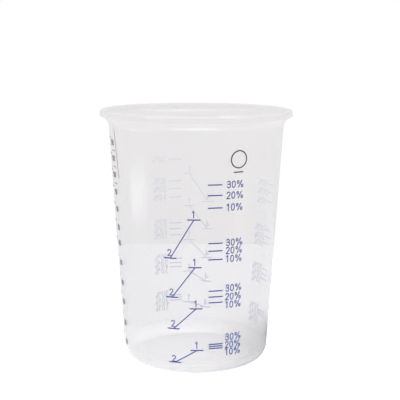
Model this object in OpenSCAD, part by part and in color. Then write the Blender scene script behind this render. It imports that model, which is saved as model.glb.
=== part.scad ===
// Graduated mixing cup for casting resin: a thin tapered cup moulded in one piece from
// translucent polypropylene, with its mixing scales screen printed on the outside wall.
// The cup stands on the plane z = 0 with its axis on Z. Its front faces -Y.
// An azimuth is an angle about the axis, 0 at the front and growing towards +X.

/* [Cup wall] */
// Overall height, from the surface the cup stands on to the top of the rim
cup_h = 166; // [150:1:180]
// Outside diameter of the wall where its slope would meet the standing surface
wall_base_d = 95; // [88:0.5:100]
// Outside diameter of the wall where its slope would meet the top of the rim
wall_top_d = 115.6; // [110:0.2:117]
// Thickness of the moulded wall
wall_t = 1.0; // [0.8:0.1:1.4]

/* [Rim] */
// Outside diameter over the lip, which is what a press-fit lid grips
rim_d = 126; // [124:0.5:132]
// Height of the turned-down lip
lip_h = 4; // [3.5:0.5:6]
// Thickness of the lip and of the flat top of the rim
lip_t = 1.1; // [0.9:0.1:1.4]
// Rounding of the lip's top outer edge
lip_round = 1.6; // [1:0.1:2]
// Width of the groove between the lip and the neck inside it
groove_w = 1.2; // [1:0.1:1.6]
// Height of the flare between its corners, before they are rounded
flare_h = 2.6; // [2.2:0.1:4]

/* [Base] */
// Outside rounding where the wall turns into the base
corner_r = 9; // [7:0.5:12]
// Thickness of the floor
floor_t = 1.1; // [0.9:0.1:1.5]
// Width of the flat ring that the cup stands on
foot_w = 2.5; // [2:0.5:4]
// How far the middle of the base is raised above the standing surface
base_rise = 2; // [1.5:0.1:3]
// Diameter of the moulding gate's witness disc under the floor
gate_d = 7; // [5:0.5:10]
// Height of the gate's witness disc
gate_h = 0.4; // [0.2:0.1:0.8]

/* [Print] */
// Thickness of the printed ink
ink_t = 0.12; // [0.08:0.01:0.2]
// Width of a printed line
line_w = 0.75; // [0.5:0.05:1.1]
// Width of the slanted leader that joins the two parts of a mixture
leader_w = 0.65; // [0.4:0.05:1]
// Length of the short lines for the parts of a mixture
part_tick_l = 8; // [6:0.5:10]
// Length of the short lines for added thinner
thinner_tick_l = 9.1; // [7:0.1:11]
// Azimuth of the front mixing scale
front_az = -0.8; // [-5:0.1:5]
// Azimuth of the side mixing scale
side_az = 99; // [94:0.1:104]
// Azimuth of the back mixing scale
back_az = 185.4; // [180:0.1:190]
// Lean of the front scale, in degrees of azimuth for each millimetre of height
front_lean = 0.03; // [0:0.005:0.05]
// Lean of the side and back scales, in the same measure
far_lean = 0.01; // [0:0.005:0.05]

/* [Volume scale] */
// Azimuth of the volume scale's numbers
volume_az = -70.5; // [-74:0.5:-66]
// Volume between two numbers, in millilitres
volume_step = 100; // [50:50:200]
// Volume at the highest number, in millilitres
volume_top = 1200; // [800:100:1200]
// How far the numbers and the half-step lines between them stand below the full lines
number_drop = 2.6; // [0:0.2:4]
// Length of a full graduation line
volume_tick_l = 5.5; // [4:0.5:8]
// Length of a half-step line
half_tick_l = 7; // [4:0.5:8]
// Width of the half-step lines and of the thin upright line beside the numbers
upright_w = 0.45; // [0.3:0.05:0.7]
// Length of the upright line, down from where the wall starts to flare
upright_l = 31.5; // [20:0.5:50]

/* [Round mark] */
// Azimuth of the small round mark
mark_az = 27.9; // [25:0.1:32]
// Depth of the middle of the ring below the top of the rim
mark_drop = 26.6; // [24:0.1:36]
// Outside diameter of the ring
mark_d = 11.4; // [8:0.1:12]
// Length of the short bar under the ring
mark_bar_l = 6.5; // [4:0.5:9]

/* [Hidden] */
$fn = 128;

// Wall lines: a straight slope outside, and the same slope one wall thickness further in
slope = (wall_top_d - wall_base_d) / 2 / cup_h;
slope_a = atan(slope);
function wall_r(z) = wall_base_d / 2 + slope * z;
function inside_r(z) = wall_r(z) - wall_t / cos(slope_a);

// Flare: a short steeper cone that carries the lip clear of the wall, rounded into the wall
// over most of its length
lip_gap_z = cup_h - lip_h;
flare_top = lip_gap_z - 1;
flare_bottom = flare_top - flare_h;
flare_r = rim_d / 2 - lip_t - groove_w;
flare_out = flare_r - wall_r(flare_bottom);
flare_a = atan(flare_out / flare_h);
fold_r = 0.78 * norm([flare_out, flare_h]) / tan((flare_a - slope_a) / 2);
// Height that an inner corner gains over the outer one, where the wall turns from a to b
function mitre(a, b) = wall_t * (1 / cos(b) - 1 / cos(a)) / (tan(b) - tan(a));

// Base: the foot ring starts where the rounded corner meets the standing surface
foot_r = wall_base_d / 2 + slope * corner_r - corner_r / cos(slope_a);
foot_in_r = foot_r - foot_w;
rise_run = base_rise * 0.6;
rise_shift = floor_t * tan(atan(base_rise / rise_run) / 2);
inner_corner_r = corner_r - wall_t;

// Small roundings of the moulding
edge_r = 0.45;
bend_r = 1.2;
arc_steps = 8;

// One corner of an outline, between the points before and after it, rounded to radius r
function unit(v) = v / norm(v);
function spun(v, a) = [v.x * cos(a) - v.y * sin(a), v.x * sin(a) + v.y * cos(a)];
function rounded(before, p, after, r) =
    let (u = unit(before - p), w = unit(after - p), half = acos(u * w) / 2)
    let (c = p + unit(u + w) * r / sin(half), start = p + u * r / tan(half) - c)
    let (turn = (180 - 2 * half) * (cross(u, w) < 0 ? 1 : -1))
    r == 0 ? [p] : [for (i = [0:arc_steps]) c + spun(start, turn * i / arc_steps)];
function xy(p) = [p.x, p.y];
function outline(pts) =
    let (n = len(pts))
    [for (i = [0:n - 1]) each rounded(xy(pts[(i + n - 1) % n]), xy(pts[i]),
                                      xy(pts[(i + 1) % n]), pts[i].z)];

// Half section of the moulding, as corners of radius, height and rounding
section = [
    [0, base_rise, 0],
    [foot_in_r - rise_run, base_rise, edge_r],
    [foot_in_r, 0, edge_r],
    [wall_base_d / 2, 0, corner_r],
    [wall_r(flare_bottom), flare_bottom, fold_r],
    [flare_r, flare_top, bend_r],
    [flare_r, cup_h - lip_t, edge_r],
    [rim_d / 2 - lip_t, cup_h - lip_t, edge_r],
    [rim_d / 2 - lip_t, lip_gap_z, edge_r],
    [rim_d / 2, lip_gap_z, edge_r],
    [rim_d / 2, cup_h, lip_round],
    [flare_r - wall_t, cup_h, edge_r * 2],
    [flare_r - wall_t, flare_top + mitre(flare_a, 0), bend_r],
    [inside_r(flare_bottom + mitre(slope_a, flare_a)), flare_bottom + mitre(slope_a, flare_a), fold_r],
    [inside_r(floor_t), floor_t, inner_corner_r],
    [foot_in_r + rise_shift, floor_t, edge_r],
    [foot_in_r - rise_run + rise_shift, base_rise + floor_t, bend_r],
    [0, base_rise + floor_t, 0]];

module cup() {
    color("gainsboro")
    union() {
        rotate_extrude() polygon(outline(section));
        translate([0, 0, base_rise - gate_h]) cylinder(d = gate_d, h = gate_h + floor_t / 2);
    }
}

// Level that a volume in millilitres reaches: the inside is a cone from the floor upwards,
// and the rounded corner takes a little depth from it
corner_loss = 0.3;
floor_r = inside_r(base_rise + floor_t + corner_loss);
function level(ml) = (pow(pow(floor_r, 3) + 3 * slope * ml * 1000 / PI, 1 / 3) - inside_r(0)) / slope;

// Thin layer that lies on the straight part of the wall. Prints are cut out of it.
print_low = corner_r * (1 - sin(slope_a));
print_high = flare_bottom - fold_r * tan((flare_a - slope_a) / 2);
module ink_layer() {
    rotate_extrude()
        polygon([[wall_r(print_low), print_low], [wall_r(print_low) + ink_t, print_low],
                 [wall_r(print_high) + ink_t, print_high], [wall_r(print_high), print_high]]);
}

// Straight bar that a radial cut gives between two points on the wall
bar_deep = 16;
module bar(az1, z1, az2, z2, w) {
    mid = (az1 + az2) / 2;
    x1 = wall_r(z1) * sin(az1 - mid);
    x2 = wall_r(z2) * sin(az2 - mid);
    zc = (z1 + z2) / 2;
    rotate([0, 0, mid])
        translate([(x1 + x2) / 2, -wall_r(zc), zc])
        rotate([0, -atan2(z2 - z1, x2 - x1), 0])
        cube([norm([x2 - x1, z2 - z1]), bar_deep, w], center = true);
}

// Level line of length l and width w, with its middle at the azimuth az
module tick(az, z, l, w = line_w) {
    half = asin(l / 2 / wall_r(z));
    bar(az - half, z, az + half, z, w);
}

// One filling of a mixing scale. marks holds the volumes, in millilitres, of the first part,
// of both parts together, and then of each addition of thinner.
// The first part's lines stand one turn before the azimuth az and the thinner's lines one turn
// after it, and the whole scale leans about the cup's middle height.
module filling(az, lean, turns, marks) {
    function leaning(z) = az - lean * (z - cup_h / 2);
    first = level(marks[0]);
    both = level(marks[1]);
    tick(leaning(first) - turns[0], first, part_tick_l);
    tick(leaning(both), both, part_tick_l);
    bar(leaning(first) - turns[0], first, leaning(both), both, leader_w);
    for (i = [2:len(marks) - 1])
        tick(leaning(level(marks[i])) + turns[1], level(marks[i]), thinner_tick_l);
}

module mixing_scale(az, lean, turns, fillings) {
    intersection() {
        ink_layer();
        for (marks = fillings) filling(az, lean, turns, marks);
    }
}

// Volumes printed on the three mixing scales, for two, three and four parts to one
front_fillings = [[39, 98, 105, 115, 125], [200, 302, 331, 360, 390],
                  [357, 514, 554, 600, 641], [560, 771, 836, 907, 967]];
side_fillings = [[84, 112, 123, 135, 147], [215, 287, 316, 343, 370],
                 [352, 469, 515, 552, 592], [517, 690, 761, 816, 868]];
back_fillings = [[106, 132, 146, 159, 172], [245, 300, 328, 350, 375],
                 [377, 481, 512, 548, 583], [547, 686, 742, 795, 843], [712, 890, 984]];
front_turns = [17, 14.15];
far_turns = [14.4, 11];

module front_ratio_print() {
    color("midnightblue") mixing_scale(front_az, front_lean, front_turns, front_fillings);
}

module side_ratio_print() {
    color("midnightblue") mixing_scale(side_az, far_lean, far_turns, side_fillings);
}

module back_ratio_print() {
    color("midnightblue") mixing_scale(back_az, far_lean, far_turns, back_fillings);
}

// Volume scale: a line at every number, half steps near the top, and a thin upright line that
// leans towards the numbers. Turns are counted from the numbers' azimuth.
volume_tick_turn = 9.5;
upright_foot_turn = 8;
upright_head_turn = 4.5;
half_steps = 3;
module volume_print() {
    color("dimgray")
    intersection() {
        ink_layer();
        union() {
            for (ml = [volume_step:volume_step:volume_top])
                tick(volume_az - volume_tick_turn, level(ml), volume_tick_l);
            for (i = [1:half_steps])
                tick(volume_az, level(volume_top - (i - 0.5) * volume_step) - number_drop,
                     half_tick_l, upright_w);
            bar(volume_az + upright_foot_turn, print_high - upright_l,
                volume_az + upright_head_turn, print_high, upright_w);
        }
    }
}

// Round mark: a plain ring with a short bar under it
mark_z = cup_h - mark_drop;
module round_mark_print() {
    bar_z = mark_z - mark_d / 2 - 3 * line_w;
    color("dimgray")
    intersection() {
        ink_layer();
        union() {
            rotate([0, 0, mark_az])
                translate([0, -wall_r(mark_z), mark_z])
                rotate([90, 0, 0])
                difference() {
                    cylinder(d = mark_d, h = bar_deep, center = true);
                    cylinder(d = mark_d - 2 * line_w, h = bar_deep + 2, center = true);
                }
            tick(mark_az, bar_z, mark_bar_l);
        }
    }
}

cup();
front_ratio_print();
side_ratio_print();
back_ratio_print();
volume_print();
round_mark_print();
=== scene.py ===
import math

import bmesh
import bpy
from mathutils import Matrix, Vector


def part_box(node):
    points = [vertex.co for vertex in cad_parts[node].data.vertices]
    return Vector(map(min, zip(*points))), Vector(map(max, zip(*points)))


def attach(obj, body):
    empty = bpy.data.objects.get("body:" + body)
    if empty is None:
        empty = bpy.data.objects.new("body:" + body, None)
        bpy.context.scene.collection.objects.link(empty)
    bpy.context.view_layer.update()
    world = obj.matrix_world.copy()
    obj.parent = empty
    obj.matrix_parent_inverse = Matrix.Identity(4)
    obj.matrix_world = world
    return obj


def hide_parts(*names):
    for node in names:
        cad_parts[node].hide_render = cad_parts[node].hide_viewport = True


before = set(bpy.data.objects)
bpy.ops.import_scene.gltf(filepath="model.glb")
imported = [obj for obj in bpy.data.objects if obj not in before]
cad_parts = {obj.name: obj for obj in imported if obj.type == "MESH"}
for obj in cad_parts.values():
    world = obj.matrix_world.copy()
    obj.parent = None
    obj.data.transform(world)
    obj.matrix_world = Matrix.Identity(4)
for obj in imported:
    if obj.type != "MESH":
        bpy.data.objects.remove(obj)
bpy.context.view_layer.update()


# Camera
# It stands 0.65 m in front of the cup's axis and 50 mm above the rim, tipped down, so that
# the mouth shows as a thin ellipse and the base as a shallow curve.
CAMERA_PLACE = (0, -0.6465, 0.2156)
# its turns, in degrees
CAMERA_TURN = -0.235
CAMERA_TIP_DOWN = 9.653
CAMERA_ROLL = 0.244

scene = bpy.context.scene
camera_data = bpy.data.cameras.new("Camera")
camera_data.sensor_width = 36
camera_data.lens = 88.7
camera = bpy.data.objects.new("Camera", camera_data)
camera.matrix_world = (
    Matrix.Translation(CAMERA_PLACE)
    @ Matrix.Rotation(math.radians(CAMERA_TURN), 4, "Z")
    @ Matrix.Rotation(math.radians(90 - CAMERA_TIP_DOWN), 4, "X")
    @ Matrix.Rotation(math.radians(CAMERA_ROLL), 4, "Z")
)
scene.collection.objects.link(camera)
scene.camera = camera
scene.view_settings.view_transform = "Standard"


# Floor and light
# A sheet of matt white paper lies under the cup and ends a third of a metre behind it. The
# room is pale and even, with a wide soft lamp overhead and weaker ones on the left and right.
def colour(hex_value):
    """An sRGB hex value as linear red, green, blue and alpha."""
    parts = [int(hex_value[i:i + 2], 16) / 255 for i in (1, 3, 5)]
    return [c / 12.92 if c <= 0.04045 else ((c + 0.055) / 1.055) ** 2.4 for c in parts] + [1]


def add_node(tree, kind, inputs=None, **settings):
    """Adds a node of a kind, with its settings, and its inputs as values or as sockets to link."""
    node = tree.nodes.new(kind)
    for name, value in settings.items():
        setattr(node, name, value)
    for name, value in (inputs or {}).items():
        if isinstance(value, bpy.types.NodeSocket):
            tree.links.new(value, node.inputs[name])
        else:
            node.inputs[name].default_value = value
    return node


def rays(tree):
    """Two factors: seen, 1 for rays that show the surroundings, which are straight, mirrored
    or through glass; and straight, 1 for a ray from the camera that has gone through nothing."""
    path = add_node(tree, "ShaderNodeLightPath")
    either = add_node(tree, "ShaderNodeMath", {
        0: path.outputs["Is Camera Ray"], 1: path.outputs["Is Glossy Ray"]}, operation="MAXIMUM")
    seen = add_node(tree, "ShaderNodeMath", {
        0: either.outputs[0], 1: path.outputs["Is Transmission Ray"]}, operation="MAXIMUM")
    clear_way = add_node(tree, "ShaderNodeMath", {
        0: path.outputs["Transparent Depth"], 1: 0.5}, operation="LESS_THAN")
    straight = add_node(tree, "ShaderNodeMath", {
        0: path.outputs["Is Camera Ray"], 1: clear_way.outputs[0]}, operation="MULTIPLY")
    return seen.outputs[0], straight.outputs[0]


# The room lights the cup evenly. It is white where the camera sees it straight, and a pale
# grey wall where it is seen through the cup or mirrored in it.
world = bpy.data.worlds.new("Pale_room")
world.use_nodes = True
tree = world.node_tree
tree.nodes.clear()
seen, straight = rays(tree)
room = add_node(tree, "ShaderNodeBackground", {"Color": colour("#F4F4F6"), "Strength": 0.94})
grey = add_node(tree, "ShaderNodeBackground", {"Color": colour("#E6E4E4"), "Strength": 1.0})
white = add_node(tree, "ShaderNodeBackground", {"Color": colour("#FFFFFF"), "Strength": 1.0})
shown = add_node(tree, "ShaderNodeMixShader", {0: straight, 1: grey.outputs[0], 2: white.outputs[0]})
shown = add_node(tree, "ShaderNodeMixShader", {0: seen, 1: room.outputs[0], 2: shown.outputs[0]})
add_node(tree, "ShaderNodeOutputWorld", {"Surface": shown.outputs[0]})
scene.world = world
# holds down stray bright specks
scene.cycles.sample_clamp_indirect = 2.0

# Smooth drawing paper, pressed and uncoated: matt and even, with faint fibres and no gloss.
# Straight from the camera it is white. Where the cup shows it, it is pale grey, with a dark
# patch of painted shade on the right and a faint one of painted shade on the left.
MM = 0.001
PAPER_FIBRE = 2.5 * MM
# painted shade: seen through the cup, the paper darkens round this place on the right, fading out between
# these radii
RIGHT_SHADE_PLACE = (71 * MM, 17 * MM, 0)
RIGHT_SHADE_INNER_R = 22 * MM
RIGHT_SHADE_OUTER_R = 88 * MM
# painted shade on the left: seen through the cup, the paper is darkest left of the first place and plain
# right of the second
LEFT_SHADE_FULL_X = -85 * MM
LEFT_SHADE_END_X = -45 * MM
# painted light: where the cup shows it, the paper under the base glows, most near this place
PAINTED_GLOW_PLACE = (-8 * MM, 12 * MM, 0)
PAINTED_GLOW_INNER_R = 34 * MM
PAINTED_GLOW_OUTER_R = 72 * MM

paper = bpy.data.materials.new("White_drawing_paper_pressed")
paper.use_nodes = True
tree = paper.node_tree
tree.nodes.clear()
seen, straight = rays(tree)
at = add_node(tree, "ShaderNodeTexCoord").outputs["Object"]
fibres = add_node(tree, "ShaderNodeTexNoise", {"Vector": at, "Scale": 1 / PAPER_FIBRE, "Detail": 3.0})
bump = add_node(tree, "ShaderNodeBump", {
    "Height": fibres.outputs["Fac"], "Strength": 0.03, "Distance": 0.2 * MM})
from_right_shade = add_node(tree, "ShaderNodeVectorMath", {0: at, 1: RIGHT_SHADE_PLACE}, operation="DISTANCE")
right = add_node(tree, "ShaderNodeMapRange", {
    "Value": from_right_shade.outputs["Value"], "From Min": RIGHT_SHADE_INNER_R,
    "From Max": RIGHT_SHADE_OUTER_R, "To Min": 0.68, "To Max": 0.0}, interpolation_type="SMOOTHSTEP")
across = add_node(tree, "ShaderNodeSeparateXYZ", {0: at})
left = add_node(tree, "ShaderNodeMapRange", {
    "Value": across.outputs["X"], "From Min": LEFT_SHADE_FULL_X,
    "From Max": LEFT_SHADE_END_X, "To Min": 0.15, "To Max": 0.0}, interpolation_type="SMOOTHSTEP")
dark = add_node(tree, "ShaderNodeMath", {0: right.outputs[0], 1: left.outputs[0]}, operation="MAXIMUM")
# the painted shade shows only where the cup shows the paper or mirrors it
by_cup = add_node(tree, "ShaderNodeMath", {0: seen, 1: straight}, operation="SUBTRACT")
dark = add_node(tree, "ShaderNodeMath", {0: by_cup.outputs[0], 1: dark.outputs[0]}, operation="MULTIPLY")
tone = add_node(tree, "ShaderNodeMixRGB", {
    "Fac": seen, "Color1": colour("#F0F0F0"), "Color2": colour("#E1E1E4")})
# the grey that the paper darkens towards under the painted shade
tone = add_node(tree, "ShaderNodeMixRGB", {
    "Fac": dark.outputs[0], "Color1": tone.outputs[0], "Color2": colour("#303030")})
matt = add_node(tree, "ShaderNodeBsdfDiffuse", {"Color": tone.outputs[0], "Normal": bump.outputs[0]})
from_painted_glow = add_node(tree, "ShaderNodeVectorMath", {0: at, 1: PAINTED_GLOW_PLACE}, operation="DISTANCE")
painted_glow_under_base = add_node(tree, "ShaderNodeMapRange", {
    "Value": from_painted_glow.outputs["Value"], "From Min": PAINTED_GLOW_INNER_R, "From Max": PAINTED_GLOW_OUTER_R,
    "To Min": 0.48, "To Max": 0.0}, interpolation_type="SMOOTHSTEP")
# straight from the camera this lifts the paper to white; where the cup shows it, it is the painted light
# under the base
lift_and_painted_glow_strength = add_node(tree, "ShaderNodeMapRange", {
    "Value": straight, "To Min": painted_glow_under_base.outputs[0], "To Max": 0.38})
lift_and_painted_glow_strength = add_node(tree, "ShaderNodeMath", {0: seen, 1: lift_and_painted_glow_strength.outputs[0]}, operation="MULTIPLY")
white_lift_and_painted_glow = add_node(tree, "ShaderNodeEmission", {"Color": colour("#F6F7FF"), "Strength": lift_and_painted_glow_strength.outputs[0]})
sheet = add_node(tree, "ShaderNodeAddShader", {0: matt.outputs[0], 1: white_lift_and_painted_glow.outputs[0]})
add_node(tree, "ShaderNodeOutputMaterial", {"Surface": sheet.outputs[0]})

# the far edge of the sheet shows through the cup as a level line
SHEET_HALF = 2.0
SHEET_FAR_EDGE = 0.35
shape = bmesh.new()
bmesh.ops.create_grid(shape, x_segments=1, y_segments=1, size=SHEET_HALF)
bmesh.ops.translate(shape, verts=shape.verts[:], vec=(0, SHEET_FAR_EDGE - SHEET_HALF, 0))
floor_mesh = bpy.data.meshes.new("Floor")
shape.to_mesh(floor_mesh)
shape.free()
floor = bpy.data.objects.new("Floor", floor_mesh)
floor.data.materials.append(paper)
scene.collection.objects.link(floor)

# each lamp: where it stands and what it points at, width, height, spread in degrees and power.
# A fill only lights the cup, and a card only shows as a reflection in it: the left card as the
# tall highlight, the front card, which lies on the paper, as the light line under the lip.
for name, place, target, width, height, spread, power in [
        ("Lamp_above", (0.1, 0.5, 1.9), (0, 0, 0), 1.0, 1.0, 180, 13.5),
        ("Lamp_left", (-0.75, -0.55, 0.55), (0, 0, 0.08), 0.5, 0.5, 180, 1.6),
        ("Lamp_right", (0.75, -0.4, 0.45), (0, 0, 0.1), 0.5, 0.5, 180, 1.2),
        ("Fill_low", (-0.12, -0.55, 0.03), (-0.015, 0, 0.012), 0.05, 0.05, 14, 0.001),
        ("Card_left", (-0.24, -0.055, 0.063), (-0.04, -0.035, 0.1), 0.11, 0.03, 180, 0.025),
        ("Card_front", (0.005, -0.133, 0.001), (0.005, -0.133, 1), 0.2, 0.05, 90, 0.032)]:
    lamp = bpy.data.lights.new(name, "AREA")
    lamp.shape = "RECTANGLE"
    lamp.size = width
    lamp.size_y = height
    lamp.spread = math.radians(spread)
    lamp.energy = power
    stand = bpy.data.objects.new(name, lamp)
    stand.location = place
    stand.rotation_euler = (Vector(target) - Vector(place)).to_track_quat("-Z", "Y").to_euler()
    stand.visible_camera = False
    stand.visible_diffuse = not name.startswith("Card")
    stand.visible_transmission = not name.startswith("Card")
    stand.visible_glossy = not name.startswith("Fill")
    scene.collection.objects.link(stand)


# Cup
# The cup itself is one thin injection moulding in natural polypropylene, milky, half clear
# and satin. It is a body of revolution, drawn here as its half section and spun about the axis.
# Its sizes are in mm, and the rim's come from the model.
cup_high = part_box("cup")[1]
RIM_R = round(cup_high.x / MM, 2)
RIM_HEIGHT = round(cup_high.z / MM, 2)
WALL_BASE_R = 47.5
WALL_TOP_R = 57.8
WALL_THICK = 1.0
FLOOR_THICK = 1.1
LIP_THICK = 1.1
LIP_HEIGHT = 4.0
LIP_ROUNDING = 1.6
MOUTH_ROUNDING = 0.9
GROOVE_WIDTH = 1.2
FLARE_UNDER_LIP = 1.0
FLARE_HEIGHT = 2.6
FOLD_ROUNDING = 7.3
CORNER_ROUNDING = 9.0
FOOT_IN_R = 36.35
BASE_RISE = 2.0
RISE_RUN = 1.2
GATE_R = 3.5
GATE_HEIGHT = 0.4
GATE_TAPER = 0.2
GATE_EDGE_ROUNDING = 0.15
GATE_ROOT_ROUNDING = 0.1
EDGE_ROUNDING = 0.45
BEND_ROUNDING = 1.2
# how far the inner corners stand off the outer ones, above them at the flare and outside
# them at the raised base
FLARE_INNER_LIFT = 0.5
RISE_INNER_SHIFT = 0.63
# how far the ink sinks into the skin of the wall, so that no two faces share a place
SKIN = 0.03

neck_r = RIM_R - LIP_THICK - GROOVE_WIDTH
lip_foot = RIM_HEIGHT - LIP_HEIGHT
flare_top = lip_foot - FLARE_UNDER_LIP
flare_foot = flare_top - FLARE_HEIGHT
wall_slope = (WALL_TOP_R - WALL_BASE_R) / RIM_HEIGHT


def wall_r(z):
    """Outside radius of the wall at the height z."""
    return WALL_BASE_R + wall_slope * z


def inside_r(z):
    """Inside radius of the wall at the height z."""
    return wall_r(z) - WALL_THICK / math.cos(math.atan(wall_slope))


# corners of the half section, from the middle of the underside round to the middle of the
# floor inside: radius, height and rounding
section = [
    (0, BASE_RISE - GATE_HEIGHT, 0),
    (GATE_R, BASE_RISE - GATE_HEIGHT, GATE_EDGE_ROUNDING),
    (GATE_R + GATE_TAPER, BASE_RISE, GATE_ROOT_ROUNDING),
    (FOOT_IN_R - RISE_RUN, BASE_RISE, EDGE_ROUNDING),
    (FOOT_IN_R, 0, EDGE_ROUNDING),
    (wall_r(0) + SKIN, 0, CORNER_ROUNDING),
    (wall_r(flare_foot) + SKIN, flare_foot, FOLD_ROUNDING),
    (neck_r, flare_top, BEND_ROUNDING),
    (neck_r, RIM_HEIGHT - LIP_THICK, EDGE_ROUNDING),
    (RIM_R - LIP_THICK, RIM_HEIGHT - LIP_THICK, EDGE_ROUNDING),
    (RIM_R - LIP_THICK, lip_foot, EDGE_ROUNDING),
    (RIM_R, lip_foot, EDGE_ROUNDING),
    (RIM_R, RIM_HEIGHT, LIP_ROUNDING),
    (neck_r - WALL_THICK, RIM_HEIGHT, MOUTH_ROUNDING),
    (neck_r - WALL_THICK, flare_top + FLARE_INNER_LIFT, BEND_ROUNDING),
    (inside_r(flare_foot + FLARE_INNER_LIFT), flare_foot + FLARE_INNER_LIFT, FOLD_ROUNDING),
    (inside_r(FLOOR_THICK), FLOOR_THICK, CORNER_ROUNDING - WALL_THICK),
    (FOOT_IN_R + RISE_INNER_SHIFT, FLOOR_THICK, EDGE_ROUNDING),
    (FOOT_IN_R + RISE_INNER_SHIFT - RISE_RUN, BASE_RISE + FLOOR_THICK, BEND_ROUNDING),
    (0, BASE_RISE + FLOOR_THICK, 0)]

shape = bmesh.new()
corners = [shape.verts.new((r * MM, 0, z * MM)) for r, z, _ in section]
for start, end in zip(corners, corners[1:]):
    shape.edges.new((start, end))
for i, (_, _, rounding) in enumerate(section):
    if rounding:
        before, here, after = (Vector(section[j][:2]) for j in (i - 1, i, i + 1))
        turn = (here - before).angle(after - here)
        bmesh.ops.bevel(shape, geom=[corners[i]], offset=rounding * MM * math.tan(turn / 2),
                        segments=6, profile=0.5, affect="VERTICES", material=-1)
bmesh.ops.spin(shape, geom=shape.verts[:] + shape.edges[:], cent=(0, 0, 0), axis=(0, 0, 1),
               dvec=(0, 0, 0), angle=math.tau, steps=256, use_merge=True, use_duplicate=False)
bmesh.ops.remove_doubles(shape, verts=shape.verts[:], dist=1e-6)
bmesh.ops.recalc_face_normals(shape, faces=shape.faces[:])
for face in shape.faces:
    face.smooth = True
cup_mesh = bpy.data.meshes.new("Cup")
shape.to_mesh(cup_mesh)
shape.free()
cup = bpy.data.objects.new("Cup", cup_mesh)
scene.collection.objects.link(cup)
cup.modifiers.new("Even_shading", "WEIGHTED_NORMAL").keep_sharp = True

# Natural polypropylene, moulded in a polished mould: milky with faint clouds, and clear
# enough to show the far prints. Its satin skin mirrors softly and has faint flow ripples.
MILK_CLOUD = 36 * MM
FLOW_RIPPLE = 16.7 * MM
# the cup is milkier and less clear at the base, and that fades between these heights
BASE_MILK_FROM = 4 * MM
BASE_MILK_TO = 14 * MM

polypropylene = bpy.data.materials.new("Natural_polypropylene_moulded")
polypropylene.use_nodes = True
tree = polypropylene.node_tree
tree.nodes.clear()
at = add_node(tree, "ShaderNodeTexCoord").outputs["Object"]
height = add_node(tree, "ShaderNodeSeparateXYZ", {0: at}).outputs["Z"]
cloud = add_node(tree, "ShaderNodeTexNoise", {
    "Vector": at, "Scale": 1 / MILK_CLOUD, "Detail": 3.0, "Roughness": 0.5})
milk = add_node(tree, "ShaderNodeValToRGB", {"Fac": cloud.outputs["Fac"]})
milk.color_ramp.elements[0].color = colour("#F2F1F1")
milk.color_ramp.elements[1].color = colour("#F8F7F7")
matt = add_node(tree, "ShaderNodeBsdfDiffuse", {"Color": milk.outputs["Color"]})
through = add_node(tree, "ShaderNodeBsdfTranslucent", {"Color": milk.outputs["Color"]})
body = add_node(tree, "ShaderNodeMixShader", {0: 0.45, 1: matt.outputs[0], 2: through.outputs[0]})
clear = add_node(tree, "ShaderNodeBsdfTransparent", {"Color": colour("#FDFDFD")})
clearness = add_node(tree, "ShaderNodeMapRange", {
    "Value": height, "From Min": BASE_MILK_FROM, "From Max": BASE_MILK_TO,
    "To Min": 0.64, "To Max": 0.78}, interpolation_type="SMOOTHSTEP")
inside = add_node(tree, "ShaderNodeMixShader", {
    0: clearness.outputs[0], 1: body.outputs[0], 2: clear.outputs[0]})
# the skin mirrors a little where it faces the eye, and more at a slant
slant = add_node(tree, "ShaderNodeLayerWeight", {"Blend": 0.5})
grazing = add_node(tree, "ShaderNodeMath", {0: slant.outputs["Facing"], 1: 5.0}, operation="POWER")
mirrored = add_node(tree, "ShaderNodeMapRange", {
    "Value": grazing.outputs[0], "To Min": 0.04, "To Max": 0.8})
ripple = add_node(tree, "ShaderNodeTexNoise", {"Vector": at, "Scale": 1 / FLOW_RIPPLE, "Detail": 2.0})
flow = add_node(tree, "ShaderNodeBump", {
    "Height": ripple.outputs["Fac"], "Strength": 0.06, "Distance": 0.6 * MM})
gloss = add_node(tree, "ShaderNodeBsdfGlossy", {
    "Color": colour("#FFFFFF"), "Roughness": 0.24, "Normal": flow.outputs[0]})
skin = add_node(tree, "ShaderNodeMixShader", {
    0: mirrored.outputs[0], 1: inside.outputs[0], 2: gloss.outputs[0]})
add_node(tree, "ShaderNodeOutputMaterial", {"Surface": skin.outputs[0]})
# a look across the rim passes many clear faces
scene.cycles.transparent_max_bounces = 48
cup.data.materials.append(polypropylene)
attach(cup, "root")
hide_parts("cup")


# Printed lines
# The level lines, leaders and the round mark are thin films of screen ink, printed on the
# wall and cured. Their solids come from the model and only take an ink here.

# Screen ink, cured: even and satin, with faint pores, which are drawn far coarser than real
# ones, as coarse as they need to be to show.
INK_PORE = 0.67 * MM
# height at which an ink has its upper colour
INK_TOP = 130 * MM


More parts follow.
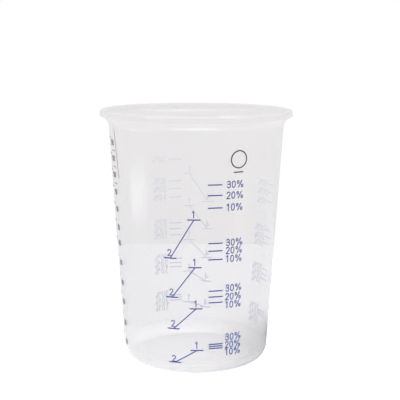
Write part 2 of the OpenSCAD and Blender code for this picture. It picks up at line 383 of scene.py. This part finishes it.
def ink(name, low, high, painted_backlit_low, painted_backlit_high):
    """A screen ink, of the colour low at the foot of the cup and high under the rim, and of
    paler colours on its underside, which is seen through the wall: painted light, as if lit through the
    film from behind."""
    made = bpy.data.materials.new(name)
    made.use_nodes = True
    tree = made.node_tree
    tree.nodes.clear()
    at = add_node(tree, "ShaderNodeTexCoord").outputs["Object"]
    height = add_node(tree, "ShaderNodeSeparateXYZ", {0: at}).outputs["Z"]
    share = add_node(tree, "ShaderNodeMapRange", {"Value": height, "From Min": 0.0, "From Max": INK_TOP})
    face = add_node(tree, "ShaderNodeMixRGB", {
        "Fac": share.outputs[0], "Color1": colour(low), "Color2": colour(high)})
    # painted light: the underside is paler, as if lit through the film from behind
    underside = add_node(tree, "ShaderNodeMixRGB", {
        "Fac": share.outputs[0], "Color1": colour(painted_backlit_low), "Color2": colour(painted_backlit_high)})
    normal = add_node(tree, "ShaderNodeNewGeometry").outputs["True Normal"]
    outward = add_node(tree, "ShaderNodeVectorMath", {0: normal, 1: at}, operation="DOT_PRODUCT")
    inward = add_node(tree, "ShaderNodeMath", {0: outward.outputs["Value"], 1: 0.0}, operation="LESS_THAN")
    tone = add_node(tree, "ShaderNodeMixRGB", {
        "Fac": inward.outputs[0], "Color1": face.outputs[0], "Color2": underside.outputs[0]})
    pores = add_node(tree, "ShaderNodeTexNoise", {"Vector": at, "Scale": 1 / INK_PORE, "Detail": 2.0})
    bump = add_node(tree, "ShaderNodeBump", {
        "Height": pores.outputs["Fac"], "Strength": 0.15, "Distance": 0.05 * MM})
    film = add_node(tree, "ShaderNodeBsdfPrincipled", {
        "Base Color": tone.outputs[0], "Roughness": 0.42, "Normal": bump.outputs[0]})
    add_node(tree, "ShaderNodeOutputMaterial", {"Surface": film.outputs[0]})
    return made


# the mixing scales are dark blue, the round mark is printed full in dark grey, and the volume
# scale is printed thin in the same ink, so it is paler
# each ink's last two colours are its underside's, paler as painted light
blue_ink = ink("Blue_screen_ink_cured", "#2F5099", "#41428A", "#959FD2", "#DADCE8")
dark_ink = ink("Dark_grey_screen_ink_cured", "#3A393B", "#3A393B", "#7A7A80", "#7A7A80")
thin_ink = ink("Dark_grey_screen_ink_thin", "#6C6B70", "#747378", "#8A8A90", "#8A8A90")
for node, film in [("front_ratio_print", blue_ink), ("side_ratio_print", blue_ink),
                   ("back_ratio_print", blue_ink), ("volume_print", thin_ink),
                   ("round_mark_print", dark_ink)]:
    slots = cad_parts[node].data.materials
    for i in range(len(slots)):
        slots[i] = film


# Printed numbers
# The numbers beside the lines are printed in the same inks, in a plain sans-serif type. Each
# numeral is a pen stroke of even width, laid round the wall with its foot in the skin.
INK_FILM = 0.12
# width of the upright strips that a word is cut into, so that it can bend round the wall
STRIP = 1.0
# width of the pen as a share of the numeral's height
PEN = 0.135


def oval(x, y, across, up):
    """A closed round stroke about x, y."""
    return [(x - across, y), (x, y + up), (x + across, y), (x, y - up), (x - across, y)]


# strokes of each numeral as points on a field one unit tall. A point with a third value is a
# corner, and a stroke that ends where it starts is closed.
STROKES = {
    "0": [oval(0.32, 0.5, 0.25, 0.435)],
    "1": [[(0.1, 0.74), (0.24, 0.83), (0.33, 0.985)], [(0.365, 0.99, 1), (0.365, 0, 1)]],
    "2": [[(0.09, 0.7), (0.15, 0.88), (0.32, 0.935), (0.5, 0.87), (0.55, 0.7), (0.46, 0.5),
           (0.25, 0.28), (0.1, 0.065, 1), (0.6, 0.065, 1)]],
    "3": [[(0.09, 0.75), (0.16, 0.89), (0.31, 0.935), (0.46, 0.88), (0.51, 0.74), (0.44, 0.59),
           (0.27, 0.535, 1), (0.48, 0.47), (0.55, 0.29), (0.48, 0.12), (0.31, 0.065),
           (0.15, 0.12), (0.07, 0.28)]],
    "4": [[(0.47, 0, 1), (0.47, 0.97, 1), (0.07, 0.31, 1), (0.63, 0.31, 1)]],
    "5": [[(0.56, 0.935, 1), (0.19, 0.935, 1), (0.12, 0.49, 1), (0.32, 0.59), (0.49, 0.52),
           (0.55, 0.33), (0.48, 0.13), (0.31, 0.065), (0.15, 0.11), (0.07, 0.26)]],
    "6": [[(0.53, 0.76), (0.46, 0.89), (0.33, 0.935), (0.17, 0.85), (0.08, 0.62), (0.08, 0.36),
           (0.16, 0.13), (0.33, 0.065), (0.49, 0.13), (0.55, 0.32), (0.48, 0.5), (0.33, 0.56),
           (0.17, 0.5), (0.09, 0.36)]],
    "7": [[(0.07, 0.935, 1), (0.56, 0.935, 1), (0.36, 0.62), (0.26, 0.3), (0.23, 0, 1)]],
    "8": [oval(0.32, 0.735, 0.2, 0.2), oval(0.32, 0.3, 0.245, 0.235)],
    "9": [[(0.11, 0.24), (0.18, 0.11), (0.31, 0.065), (0.47, 0.15), (0.56, 0.38), (0.56, 0.64),
           (0.48, 0.87), (0.31, 0.935), (0.15, 0.87), (0.09, 0.68), (0.16, 0.5), (0.31, 0.44),
           (0.47, 0.5), (0.55, 0.64)]],
    "%": [oval(0.27, 0.755, 0.14, 0.18), oval(0.97, 0.245, 0.14, 0.18), [(0.34, 0, 1), (0.9, 1, 1)]]}
# how far the pen moves on after a numeral, as a share of its height
ADVANCE = dict.fromkeys("0123456789", 0.76) | {"%": 1.24}


def word_mesh(text):
    """A word of numerals one unit tall and 1 thick, with its middle at x = 0."""
    nib = bpy.data.curves.new("Nib", "CURVE")
    edge = nib.splines.new("POLY")
    edge.points.add(3)
    for point, (x, y) in zip(edge.points, [(-1, -1), (1, -1), (1, 1), (-1, 1)]):
        point.co = (x * PEN / 2, y / 2, 0, 1)
    edge.use_cyclic_u = True
    nib_object = bpy.data.objects.new("Nib", nib)
    pen = bpy.data.curves.new("Pen", "CURVE")
    pen.dimensions = "2D"
    pen.fill_mode = "NONE"
    pen.bevel_mode = "OBJECT"
    pen.bevel_object = nib_object
    pen.use_fill_caps = True
    pen.resolution_u = 3
    start = -sum(ADVANCE[numeral] for numeral in text) / 2
    for numeral in text:
        for stroke in STROKES[numeral]:
            closed = stroke[0] == stroke[-1]
            places = stroke[:-1] if closed else stroke
            line = pen.splines.new("BEZIER")
            line.bezier_points.add(len(places) - 1)
            line.use_cyclic_u = closed
            for point, place in zip(line.bezier_points, places):
                point.co = (start + place[0], place[1], 0)
                handle = "VECTOR" if len(place) == 3 else "AUTO"
                point.handle_left_type = handle
                point.handle_right_type = handle
        start += ADVANCE[numeral]
    word = bpy.data.objects.new("Word", pen)
    scene.collection.objects.link(nib_object)
    scene.collection.objects.link(word)
    mesh = bpy.data.meshes.new_from_object(word.evaluated_get(bpy.context.evaluated_depsgraph_get()))
    bpy.data.objects.remove(word)
    bpy.data.objects.remove(nib_object)
    return mesh


def print_numbers(name, film, words):
    """Prints words as one piece. A word is its text, the azimuth of its middle, the height of
    its foot, and its size, which is the numerals' height and their width over height."""
    print_shape = bmesh.new()
    for text, azimuth, foot, (tall, narrow) in words:
        mesh = word_mesh(text)
        word = bmesh.new()
        word.from_mesh(mesh)
        bmesh.ops.remove_doubles(word, verts=word.verts[:], dist=1e-5)
        bmesh.ops.scale(word, vec=(tall * narrow, tall, 1), verts=word.verts[:])
        reach = int(max(point.co.x for point in word.verts) / STRIP) + 1
        for cut in range(-reach, reach + 1):
            bmesh.ops.bisect_plane(word, geom=word.verts[:] + word.edges[:] + word.faces[:],
                                   dist=1e-5, plane_co=(cut * STRIP, 0, 0), plane_no=(1, 0, 0))
        for point in word.verts:
            z = foot + point.co.y
            radius = wall_r(z) + (INK_FILM if point.co.z > 0 else 0)
            turn = math.radians(azimuth) + point.co.x / wall_r(foot)
            point.co = Vector((radius * math.sin(turn), -radius * math.cos(turn), z)) * MM
        word.to_mesh(mesh)
        word.free()
        print_shape.from_mesh(mesh)
        bpy.data.meshes.remove(mesh)
    bmesh.ops.recalc_face_normals(print_shape, faces=print_shape.faces[:])
    mesh = bpy.data.meshes.new(name)
    print_shape.to_mesh(mesh)
    print_shape.free()
    piece = bpy.data.objects.new(name, mesh)
    piece.data.materials.append(film)
    scene.collection.objects.link(piece)
    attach(piece, "root")


def mixing_words(stack_size, stacks, parts):
    """The words of a mixing scale. A stack is its azimuth and the feet of its percentages, from
    the lowest up. Numbers of parts are a text, its size, and the azimuth and foot of each copy."""
    words = []
    for azimuth, feet in stacks:
        words += [(text, azimuth, foot, stack_size) for text, foot in zip(("10%", "20%", "30%"), feet)]
    for text, size, places in parts:
        words += [(text, azimuth, foot, size) for azimuth, foot in places]
    return words


print_numbers("Front_numbers", blue_ink, mixing_words(
    (4.7, 0.9),
    [(26.0, (107.4, 114.9, 121.7)), (27.0, (74.5, 79.9, 85.0)),
     (27.9, (44.5, 49.8, 55.4)), (29.3, (12.9, 17.7, 22.9))],
    [("1", (4.5, 0.95), [(-1.4, 103.5), (-0.6, 73.1), (0.3, 46.1), (1.1, 18.7)]),
     ("2", (4.4, 0.95), [(-17.9, 78.8), (-17.1, 53.4), (-16.3, 32.7), (-16.1, 9.3)])]))
print_numbers("Side_numbers", blue_ink, mixing_words(
    (4.6, 0.9),
    [(121.5, (98.6, 105.0, 111.0)), (121.8, (69.0, 74.1, 79.4)),
     (122.1, (42.8, 47.6, 52.4)), (122.4, (14.0, 18.8, 23.6))],
    [("1", (4.4, 0.95), [(99, 94.1), (99.2, 67.5), (99.5, 44.2), (99.8, 20.5)]),
     ("3", (4.4, 0.95), [(84.3, 73.4), (84.6, 52.7), (84.9, 34.6), (85.2, 16.6)])]))
print_numbers("Back_numbers", blue_ink, mixing_words(
    (4.6, 0.85),
    [(208.6, (124.3,)), (208.8, (97.0, 102.8, 108.6)), (209.0, (69.2, 74.0, 79.0)),
     (209.3, (44.0, 48.9, 53.8)), (209.6, (17.4, 22.2, 27.0))],
    [("1", (4.4, 0.95), [(185.1, 116.8), (185.3, 93.6), (185.5, 69.0), (185.8, 45.9), (186.1, 23.3)]),
     ("4", (4.4, 0.95), [(170.9, 96.6), (171.1, 77.1), (171.3, 55.9), (171.5, 38.7), (171.7, 19.7)])]))

# the volume numbers climb in steps of 100 ml. They are narrow, and those with four digits
# have their middle further back.
VOLUME_STEP = 100
VOLUME_MIDDLES = (13, 26, 40.5, 53.5, 67, 80.2, 90.5, 102.6, 113.9, 125, 135.7, 146)
VOLUME_SIZE = (3.8, 0.62)
VOLUME_AZIMUTHS = {3: -70.8, 4: -71.8}
volume_words = []
for i, middle in enumerate(VOLUME_MIDDLES):
    text = str(VOLUME_STEP * (i + 1))
    foot = middle - VOLUME_SIZE[0] / 2
    volume_words.append((text, VOLUME_AZIMUTHS[len(text)], foot, VOLUME_SIZE))
print_numbers("Volume_numbers", thin_ink, volume_words)
